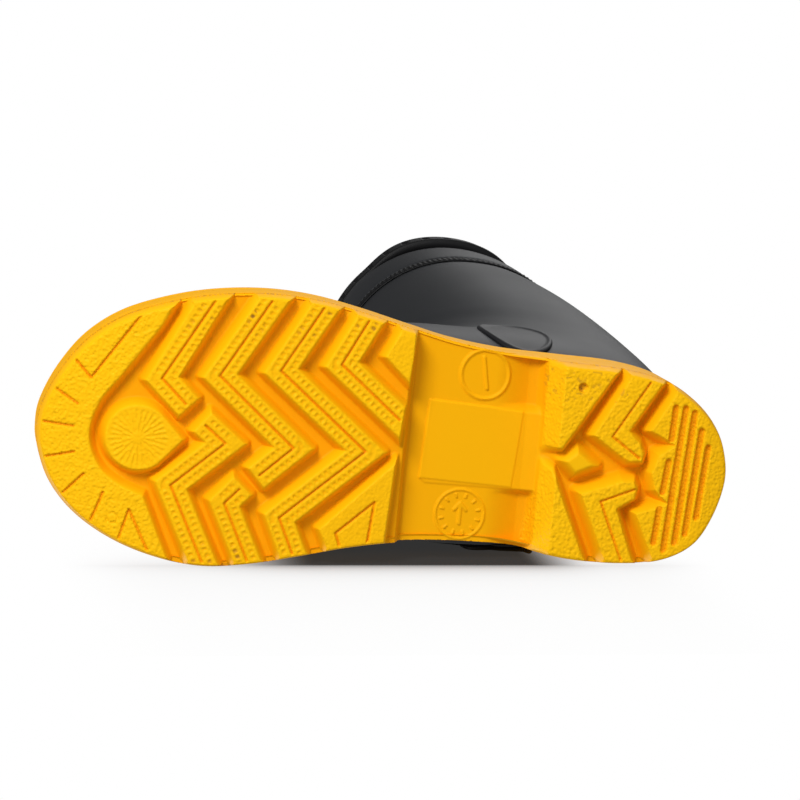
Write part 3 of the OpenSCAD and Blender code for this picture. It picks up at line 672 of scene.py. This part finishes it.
SECTIONS = np.array([
    [251.5, 40, 251.5, 27, 6.5, 6.5, 0.55, 2.0, 2.0],
    [249, 48, 249, 22, 13.5, 13.5, 0.58, 2.1, 2.3],
    [243, 56, 243, 18, 23.5, 22, 0.60, 2.2, 2.5],
    [230, 63, 230, 16, 36, 32, 0.62, 2.3, 3.0],
    [210, 68, 210, 14, 44.5, 39, 0.62, 2.3, 3.6],
    [188, 73, 188, 13, 48.5, 41, 0.60, 2.2, 3.8],
    [166, 81, 165, 12, 48.5, 38.5, 0.58, 2.1, 3.4],
    [148, 93, 141, 12, 45.5, 36, 0.55, 2.1, 2.8],
    [134, 109, 114, 14, 42.5, 38, 0.52, 2.1, 2.5],
    [125, 127, 82, 17, 41.5, 41.5, 0.52, 2.1, 2.4],
    [120, 145, 42, 20, 40.5, 43, 0.54, 2.1, 2.4],
    [117, 161, 12, 31, 40, 43.5, 0.54, 2.1, 2.3],
    [115.5, 175, 4.5, 60, 41.5, 44, 0.54, 2.1, 2.25],
    [114.5, 189, 5.5, 98, 44.5, 45.5, 0.54, 2.1, 2.35],
    [114, 206, 8, 145, 47.5, 47.5, 0.54, 2.05, 2.45],
    [114, 229, 9, 200, 49.5, 49, 0.53, 2, 2.45],
    [114, 262, 10.5, 258, 50.5, 50, 0.52, 2, 2.35],
    [113.5, 295, 12.5, 295, 51, 51, 0.51, 2, 2.1],
    [113, 328, 14, 328, 51, 51, 0.5, 2, 2],
    [113, 361, 15, 361, 51, 51, 0.5, 2, 2]], float)
LAST = len(SECTIONS) - 2
RISE, BOOT_HEIGHT, ANKLE_TOP = 33.0, 328.0, 14.0
WALL, GAP = 2.8, 0.25


def sections_at(u):
    u = np.atleast_1d(np.array(u, float))
    i = np.minimum(np.floor(u).astype(int), LAST)
    t = (u - i)[:, None]
    return blend4(SECTIONS[np.maximum(i - 1, 0)], SECTIONS[i], SECTIONS[i + 1],
                  SECTIONS[np.minimum(i + 2, LAST + 1)], t)


def section_of(z):
    return LAST - (BOOT_HEIGHT - z) / RISE


def layer(u, a, d, f=0.0):
    """Points of a layer: u along the upper, a in degrees around it, d inwards, f above the sole.
    All of them broadcast, with u going down the rows."""
    u = np.array(u, float)
    shape = np.broadcast(u, np.array(a, float), np.array(d, float)).shape
    u = np.broadcast_to(u, shape)
    a = np.radians(np.broadcast_to(np.array(a, float), shape))
    d = np.broadcast_to(np.array(d, float), shape)
    s = sections_at(u.ravel()).reshape(*shape, 9)
    top, bottom = s[..., 0:2], s[..., 2:4]
    way = (bottom - top) / np.linalg.norm(bottom - top, axis=-1, keepdims=True)
    span = bottom - top - 2 * d[..., None] * way
    c, sn = np.cos(a), np.sin(a)
    square = np.where(c > 0, s[..., 7], s[..., 8])
    part = np.abs(c) ** (2 / square)
    share = np.where(c > 0, s[..., 6] * (1 - part), s[..., 6] + (1 - s[..., 6]) * part)
    width = np.where(sn > 0, s[..., 4], s[..., 5]) - d
    y = np.sign(sn) * width * np.abs(sn) ** (2 / square)
    xz = top + d[..., None] * way + share[..., None] * span
    x = xz[..., 0] - d * np.maximum(0, 1 - u / 3.2)
    z = np.where(u < 12, np.maximum(xz[..., 1], floor_z(x) + f), xz[..., 1])
    return np.stack([x, y, z], -1)


def even(low, high, n):
    return np.linspace(low, high, n + 1)


def foot_rows(top, d, fine):
    rows = [even(d / 5, 3.2, 6 * fine), even(3.2, 8, 12 * fine)[1:], even(8, 11.3, 14 * fine)[1:],
            even(11.3, ANKLE_TOP, 10 * fine)[1:]]
    if top > ANKLE_TOP:
        rows.append(even(ANKLE_TOP, top, 10 * fine)[1:])
    return np.concatenate(rows)


def skin(name, rings, material, body="boot", flip=False):
    """A solid skin from rings of points, closed at both ends by a fan."""
    m, n = rings.shape[:2]
    points = np.concatenate([rings.reshape(-1, 3), rings[:1].mean(1), rings[-1:].mean(1)])
    faces = grid_faces(m, n, flip=flip).tolist()
    last = (m - 1) * n
    for j in range(n):
        k = (j + 1) % n
        faces.append([m * n, k, j] if flip else [m * n, j, k])
        ends = [last + k, last + j]
        faces.append([m * n + 1, *(ends[::-1] if flip else ends)])
    return make_mesh(name, points, faces, material, body)


def hose(name, rings, material):
    """A band around the boot: its rings close on themselves."""
    m, n = rings.shape[:2]
    return make_mesh(name, rings, grid_faces(m, n, close_rows=True), material)


def around(n):
    return np.arange(n) * 360.0 / n


def sock(name, d, f, thick, material):
    """A layer round the whole foot, up to the ankle."""
    a = around(96)[None, :]
    out = layer(foot_rows(ANKLE_TOP, d, 2)[:, None], a, d, f)
    d, f = d + thick, f + thick
    back = layer(foot_rows(ANKLE_TOP, d, 2)[::-1][:, None], a, d, f)
    return skin(name, np.concatenate([out, back]), material)


N_AROUND = 192
FINE = 4
RIM_TOP = BOOT_HEIGHT - 1.8
RIM_HIGH, CUFF_HIGH, RIB_HIGH = 14, 37, 7
RIM_BLOCKS, RIBS = 36, 150
GUARD_X, GUARD_Z, GUARD_HALF_LONG, GUARD_HALF_HIGH = 73, 70, 14, 30
CAP_D = WALL + GAP
CAP_THICK, FELT_THICK, LINING_THICK, BOARD_THICK = 1.8, 2.0, 1.0, 2.4
FELT_D = CAP_D + CAP_THICK + GAP
FELT_F = WALL + 2 * GAP
BOARD_F = FELT_F + FELT_THICK + GAP
LINING_D = FELT_D + FELT_THICK + GAP
LINING_F = BOARD_F + BOARD_THICK + GAP
FOOTBED_F = LINING_F + LINING_THICK + 2 * GAP
FOOTBED_THICK, COVER_THICK = 4.2, 0.8
END_ROUND = 34
STITCH_LENGTH, STITCH_INSET = 3.2, 3.0
HEM_HIGH, HEM_THICK = 14, 0.9


def build_upper():
    """The upper, with the mould's parting line standing proud up its front and down its back."""
    extra = np.array([-1.2, -0.7, -0.35, 0.35, 0.7, 1.2])
    a = np.unique(np.concatenate([around(N_AROUND), (extra + 360) % 360, 180 + extra]))[None, :]
    seam = np.minimum(np.abs((a + 180) % 360 - 180), np.abs(a - 180))
    proud = 0.32 * smooth(seam, 0.75, 0.3)
    top = section_of(RIM_TOP)
    out = layer(foot_rows(top, 0.0, FINE)[:, None], a, -proud, GAP)
    back = layer(foot_rows(top, WALL, FINE)[::-1][:, None], a, WALL, WALL + GAP)
    obj = skin("upper", np.concatenate([out, back]), UPPER)
    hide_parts("upper_shell")


def leg_band(name, profile, material, grip=0.0, n=N_AROUND, relief=None):
    """A band on the leg from its cross-section of [height, distance outwards] points. Relief
    gives what is added outwards at each height and angle."""
    a = around(n)
    side = np.clip((np.abs(np.sin(np.radians(a))) - 0.7) / 0.3, 0, 1)
    side = np.sin(side * np.pi / 2) ** 2
    rings = []
    for z, out in profile:
        o = out + grip * side if out > 0.5 else np.full(len(a), out)
        if relief is not None and out > 0.5:
            o = o + relief(z, a)
        rings.append(layer(section_of(z), a, -o))
    return hose(name, np.array(rings), material)


def build_leg_bands():
    low = BOOT_HEIGHT - RIM_HIGH
    around_rim = RIM_BLOCKS * 20

    def rim_relief(z, a):
        t = (a * RIM_BLOCKS / 360) % 1
        block = smooth(np.abs(t - 0.5), 0.42, 0.33)
        return -0.9 * (1 - block) * smooth(z, low + 1, low + 2) * smooth(z, low + 9.5, low + 8.5)

    profile = [(RIM_TOP + GAP, GAP), (low, GAP), (low, 1.4), (low + 0.5, 1.8), (low + 1.0, 2.0)]
    profile += [(low + t, 2.0) for t in (1.5, 2.0, 3.0, 5.0, 7.0, 8.5, 9.0, 9.5, 10.0)]
    profile += [
        (BOOT_HEIGHT - 1.6, 1.85), (BOOT_HEIGHT - 0.7, 1.6),
        (BOOT_HEIGHT - 0.1, 0.9), (BOOT_HEIGHT, 0.0), (BOOT_HEIGHT, -1.6),
        (BOOT_HEIGHT - 0.3, -2.5), (BOOT_HEIGHT - 1.0, -WALL), (RIM_TOP + GAP, -WALL)]
    rim = leg_band("rim", profile, RIM_SHADED, 3.6, around_rim, rim_relief)
    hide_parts("rim_band")
    top = BOOT_HEIGHT - RIM_HIGH - GAP
    low = top - CUFF_HIGH
    profile = [(top, GAP), (low, GAP), (low, 0.9)]
    for t in np.linspace(0.02, 0.98, 22):
        profile.append((low + (top - low) * t, 0.9 + (2.6 - 0.9) * math.sin(math.pi * t) ** 0.55))
    profile.append((top, 0.9))
    cuff = leg_band("cuff_band", profile, CUFF)
    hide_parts("cuff")
    top = low - GAP
    low = top - RIB_HIGH
    middle = (low + top) / 2

    def rib_relief(z, a):
        wave = 0.5 + 0.5 * np.cos(np.radians(a * RIBS))
        off = abs(z - middle)
        return 0.35 * wave * smooth(off, 3.3, 2.2) - 0.3 * smooth(off, 0.6, 0.2)

    profile = [(top, GAP), (low, GAP)]
    profile += [(z, 0.6 + 0.4 * smooth(3.5 - abs(z - middle), 0, 1)) for z in
                np.linspace(low, top, 19)]
    rib = leg_band("knurled_band", profile, RIM_SHADED, 0.0, RIBS * 6, rib_relief)
    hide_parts("rib_band")


def place_of(side, x, z):
    """The places on the upper, as section and angle, that lie at points x, z on one side."""
    u, a = np.full(x.shape, 10.95), np.full(x.shape, 90.0)
    e = 0.01
    for _ in range(8):
        p = layer(u, side * a, np.zeros(x.shape))
        du = (layer(u + e, side * a, np.zeros(x.shape)) - p) / e
        da = (layer(u, side * (a + e), np.zeros(x.shape)) - p) / e
        dx, dz = x - p[..., 0], z - p[..., 2]
        det = du[..., 0] * da[..., 2] - da[..., 0] * du[..., 2]
        u = u + (dx * da[..., 2] - da[..., 0] * dz) / det
        a = a + (du[..., 0] * dz - dx * du[..., 2]) / det
    return u, a


def build_guards():
    t = np.radians(around(96))
    profile = [(0.05, GAP), (0.5, GAP), (1.0, GAP), (1.0, 0.35), (0.985, 0.8), (0.96, 1.15),
               (0.93, 1.35), (0.90, 1.35), (0.87, 1.05), (0.83, 0.75), (0.80, 0.7), (0.6, 0.75),
               (0.4, 0.8), (0.2, 0.8), (0.05, 0.8)]
    for side, name in ((1, "lateral"), (-1, "medial")):
        rows = []
        for r, out in profile:
            u, a = place_of(side, GUARD_X + r * GUARD_HALF_LONG * np.cos(t),
                            GUARD_Z + r * GUARD_HALF_HIGH * np.sin(t))
            rows.append(layer(u, side * a, -out))
        obj = skin(f"guard_{name}", np.array(rows), GUARD_SHADED, flip=side > 0)
        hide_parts(f"ankle_guard_{name}")


def build_linings():
    felt = sock("felt_sock", FELT_D, FELT_F, FELT_THICK, FELT)
    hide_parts("felt_layer")
    lining = sock("foot_lining", LINING_D, LINING_F, LINING_THICK, KNIT)
    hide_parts("lining_foot")
    us = even(ANKLE_TOP + 0.02, section_of(RIM_TOP - 2), 48)
    leg_d = WALL + GAP
    depth = leg_d + (LINING_D - leg_d) * np.maximum(0, 1 - (us - ANKLE_TOP) / 1.2) ** 2
    a = around(N_AROUND)[None, :]
    out = layer(us[:, None], a, depth[:, None])
    back = layer(us[::-1][:, None], a, depth[::-1][:, None] + LINING_THICK)
    leg = hose("leg_lining", np.concatenate([out, back]), KNIT)
    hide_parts("lining_leg")
    us = even(section_of(RIM_TOP - 2 - HEM_HIGH), section_of(RIM_TOP - 2), 8)
    d = leg_d + LINING_THICK + GAP
    out = layer(us[:, None], a, d)
    back = layer(us[::-1][:, None], a, d + HEM_THICK)
    hem = hose("hem_tape", np.concatenate([out, back]), HEM)
    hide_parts("lining_hem")


def foot_plan(d, f):
    """The outline of the flat floor of a layer: its two edges at places along the foot."""
    a = np.linspace(0, 360, 1440, endpoint=False)[None, :]
    edges = []
    for u in even(1.2, 11.9, 56):
        p = layer(np.array([[u]]), a, np.array([[d]]), f)[0]
        flat = p[p[:, 2] < floor_z(p[:, 0]) + f + 0.02]
        if len(flat) > 4:
            edges.append((flat[flat[:, 1].argmin()], flat[flat[:, 1].argmax()]))
    low = np.array([e[0] for e in edges])
    high = np.array([e[1] for e in edges])
    return np.vstack([high, low[::-1]])[:, :2]


def resampled(loop, n):
    """A closed outline at n even steps, and its length."""
    p = np.vstack([loop, loop[:1]])
    s = np.concatenate([[0], np.cumsum(np.linalg.norm(np.diff(p, axis=0), axis=1))])
    t = np.linspace(0, s[-1], n, endpoint=False)
    return np.stack([np.interp(t, s, p[:, k]) for k in (0, 1)], 1), s[-1]


def insole_slab(name, loop, f, thick, material, body, crown=0.0, stitch=False, pores=0.0):
    """A shaped board, pad or cloth lying on the floor of the boot, with a rounded edge."""
    n = 720
    ring, length = resampled(loop, n)
    middle = np.clip(ring[:, 0], loop[:, 0].min() + END_ROUND, loop[:, 0].max() - END_ROUND)
    # Both edges of the plan, from the heel to the toe.
    hi = loop[: len(loop) // 2][::-1]
    lo = loop[len(loop) // 2:]
    spine_y = 0.5 * (np.interp(middle, hi[:, 0], hi[:, 1])
                     + np.interp(middle, lo[:, 0], lo[:, 1]))
    spine = np.stack([middle, spine_y], 1)
    reach = np.linalg.norm(ring - spine, axis=1)
    r = min(thick / 2, 1.6)
    profile = [(999, 0.0), (18, 0.0), (8, 0.0), (3, 0.0)]
    profile += [(r - r * math.sin(t), r - r * math.cos(t)) for t in np.linspace(0, math.pi / 2, 6)]
    profile += [(r - r * math.cos(t), thick - r + r * math.sin(t))
                for t in np.linspace(0, math.pi / 2, 6)]
    profile += [(k, thick) for k in (2.2, 2.7, 3.0, 3.3, 3.8, 5, 7, 9, 12, 15, 18, 21, 24, 27, 999)]
    s = np.arange(n) * length / n
    rings = []
    for inset, h in profile:
        k = np.clip(1 - inset / np.maximum(reach, 1e-6), 0.0, 1)[:, None]
        xy = spine + (ring - spine) * k
        z = floor_z(xy[:, 0]) + f + h
        if h >= thick:
            z = z - crown * (1 - smooth(inset, 0, 14))
            if stitch:
                thread = 0.5 + 0.5 * np.cos(s * 2 * math.pi / STITCH_LENGTH)
                z = z - (0.28 + 0.22 * thread) * smooth(abs(inset - STITCH_INSET), 0.6, 0.1)
            if pores:
                z = z - pores * (0.5 + 0.5 * pebbles(xy[:, 0] * 0.7, xy[:, 1] * 0.7))
        rings.append(np.column_stack([xy, z]))
    return skin(name, np.array(rings), material, body)


def build_insoles():
    board = insole_slab("insole_board_skin", foot_plan(FELT_D + FELT_THICK + 3.2, BOARD_F), BOARD_F,
                        BOARD_THICK, BOARD, "boot")
    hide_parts("insole_board")
    plan = foot_plan(LINING_D + LINING_THICK + 3.8, FOOTBED_F)
    pad = insole_slab("footbed_pad", plan, FOOTBED_F, FOOTBED_THICK, FOAM, "footbed", 0.4,
                      pores=0.25)
    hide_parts("footbed")
    cover = insole_slab("cover_sheet", plan, FOOTBED_F + FOOTBED_THICK - 0.35, COVER_THICK + 0.3,
                        COVER, "footbed", 0.1, stitch=True)
    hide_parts("footbed_cover")
    return cover


def build_all():
    tread = build_sole()
    wall = build_side_wall()
    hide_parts("outsole")
    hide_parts("outsole")
    build_upper()
    build_leg_bands()
    build_guards()
    build_linings()
    cover = build_insoles()
    carried = {"puncture_plate": PLATE, "ladder_shank": SHANK, "heel_filler": FILLER,
               "toe_cap": CAP, "toe_cap_edge_strip": STRIP, "heel_counter": COUNTER}
    for node, material in carried.items():
        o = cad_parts[node]
        o.data.materials.clear()
        o.data.materials.append(material)


build_all()

# ---- Stage -------------------------------------------------------------------------------------

def stage_material(name, colour, patch=False):
    """A tone that shows from one side only. A patch also fades out and takes light; the floor is
    an even tone of its own."""
    n = Nodes(name)
    n.shader.inputs["Base Color"].default_value = (*colour, 1)
    n.shader.inputs["Roughness"].default_value = 0.9
    n.shader.inputs["Specular IOR Level"].default_value = 0.05
    surface = n.shader.outputs[0]
    if not patch:
        # The floor is an even pale tone, with a soft shadow round the foot of the boot.
        pale = n.mix(n.attribute("shade"), colour, (0.10, 0.10, 0.105))
        surface = n.add("ShaderNodeEmission", {"Color": pale}).outputs[0]
    clear = n.add("ShaderNodeBsdfTransparent").outputs[0]
    fac = n.add("ShaderNodeNewGeometry").outputs["Backfacing"]
    if patch:
        fac = n.math("MAXIMUM", fac, n.attribute("fade"))
        n.put(n.shader.inputs["Base Color"],
              n.mix(n.attribute("black"), colour, (0.012, 0.012, 0.013)))
    mix = n.add("ShaderNodeMixShader")
    n.put(mix.inputs[0], fac)
    n.put(mix.inputs[1], surface)
    n.put(mix.inputs[2], clear)
    n.put(n.tree.nodes["Material Output"].inputs["Surface"], mix.outputs[0])
    return n.material


FLOOR_HALF, FLOOR_CROWDING = 40000, 6.2


def build_floor():
    """A wide floor, finer near the boot, with the boot's soft shadow written into it."""
    steps = np.linspace(-1, 1, 161) * FLOOR_CROWDING
    reach = np.sinh(steps) / math.sinh(FLOOR_CROWDING) * FLOOR_HALF
    x, y = np.meshgrid(MID_X + reach, reach, indexing="ij")
    near = signed(OUTLINE[::8], x, y)
    cast = signed(OUTLINE[::8], x - 14, y + 16)
    shade = 0.55 * np.exp(-np.maximum(near, 0) / 5) + 0.36 * np.exp(-np.maximum(cast, 0) / 48)
    mesh = bpy.data.meshes.new("floor")
    points = np.stack([x - MID_X, y, np.zeros(x.shape)], -1).reshape(-1, 3)
    faces = grid_faces(*x.shape, close_columns=False).tolist()
    mesh.from_pydata((points * MM).tolist(), [], faces)
    set_values(mesh, shade=np.clip(shade, 0, 0.85))
    mesh.materials.append(stage_material("floor", (0.83, 0.83, 0.83)))
    put_on_stage(mesh)


def put_on_stage(mesh):
    obj = bpy.data.objects.new(mesh.name, mesh)
    bpy.context.scene.collection.objects.link(obj)
    for ray in ("diffuse", "glossy", "shadow", "transmission"):
        setattr(obj, "visible_" + ray, False)


def contact_shadow():
    """The shadow under the boot, which lies on its inner side in the photo: a sheet beside that
    side. It shows only from the outer side, and reaches above the sole's level at the waist, so
    a sliver of it shows beside the ankle in a view from the toe."""
    xs = np.linspace(-8, 264, 137)
    depth = np.array([80, 60, 45, 30, 20, 12, 6, 2, 0, -1.5, -3, -5, -8, -12, -17, -24, -34,
                      -50, -75, -110, -160])
    x, z = np.meshgrid(xs, depth)
    waist = smooth(x, 40, 72) * smooth(x, 205, 150)
    waist = waist * np.where((x > 160) | (x < 60), smooth(z, 55, 30), 1)
    ends = smooth(x, 0, 40) * smooth(x, 248, 200)
    near = np.exp(-np.abs(z) / 9)
    far = np.where(z > 0, np.exp(-z / 25), np.exp(z / 70))
    dark = ((0.62 * waist + 0.14 * (1 - waist)) * near + 0.07 * far) * ends
    dark = np.where(z > 0, np.maximum(0.97 * waist, dark), dark)
    points = np.stack([x, -34.9 - 0.068 * (x - 30), z], -1).reshape(-1, 3)
    points[:, 0] -= MID_X
    mesh = bpy.data.meshes.new("contact_shadow")
    faces = grid_faces(len(depth), len(xs), close_columns=False, flip=True).tolist()
    mesh.from_pydata((points * MM).tolist(), [], faces)
    set_values(mesh, fade=1 - dark, black=smooth(z, -6, 2) * waist)
    mesh.materials.append(stage_material("shadow", (0.13, 0.07, 0.03), patch=True))
    put_on_stage(mesh)


contact_shadow()
build_floor()

bpy.context.scene.view_settings.view_transform = "Standard"

DIFFUSE_WORLD, GLOSSY_WORLD = 0.46, 0.10
world = bpy.data.worlds.new("world")
bpy.context.scene.world = world
world.use_nodes = True
# The backdrop is pure white to the camera, and lights the boot less than that.
sky = world.node_tree.nodes["Background"]
sky.inputs["Color"].default_value = (1, 1, 1, 1)
tree = world.node_tree
path = tree.nodes.new("ShaderNodeLightPath")
ambient = tree.nodes.new("ShaderNodeMapRange")
ambient.inputs["To Min"].default_value = DIFFUSE_WORLD
ambient.inputs["To Max"].default_value = GLOSSY_WORLD
tree.links.new(path.outputs["Is Glossy Ray"], ambient.inputs["Value"])
strength = tree.nodes.new("ShaderNodeMath")
strength.operation = "MAXIMUM"
tree.links.new(path.outputs["Is Camera Ray"], strength.inputs[0])
tree.links.new(ambient.outputs["Result"], strength.inputs[1])
tree.links.new(strength.outputs[0], sky.inputs["Strength"])


def area_light(name, where, target, size, power):
    data = bpy.data.lights.new(name, "AREA")
    data.shape = "DISK"
    data.size = size
    data.energy = power
    obj = bpy.data.objects.new(name, data)
    bpy.context.scene.collection.objects.link(obj)
    obj.location = where
    obj.rotation_euler = (Vector(target) - Vector(where)).to_track_quat("-Z", "Y").to_euler()


area_light("key", (0.68, 0.92, -0.95), (0, 0, 0.02), 0.6, 17)
area_light("high", (-0.5, 0.8, 1.3), (0, 0, 0.15), 0.9, 4)
area_light("front", (0.9, -1.0, 1.1), (0, 0, 0.12), 0.9, 13)

# The camera looks at the sole from below and a little from the toe's outer side.
CAMERA = np.array([314.0, 175.0, -1250.0])
TARGET = np.array([125.686, 20.256, 0.0])
CAMERA_TILT, LENS, SENSOR = 4.264, 156.87, 36
forward = (TARGET - CAMERA) / np.linalg.norm(TARGET - CAMERA)
tilt = math.radians(CAMERA_TILT)
right = np.array([-math.cos(tilt), math.sin(tilt), 0.0])
right -= forward * (right @ forward)
right /= np.linalg.norm(right)
up = np.cross(-forward, right)
data = bpy.data.cameras.new("camera")
data.sensor_width = SENSOR
data.lens = LENS
data.clip_end = 50
camera = bpy.data.objects.new("camera", data)
bpy.context.scene.collection.objects.link(camera)
pose = Matrix([[right[i], up[i], -forward[i], 0.0] for i in range(3)] + [[0, 0, 0, 1]])
pose.translation = Vector(((CAMERA - [MID_X, 0, 0]) * MM).tolist())
camera.matrix_world = pose
bpy.context.scene.camera = camera
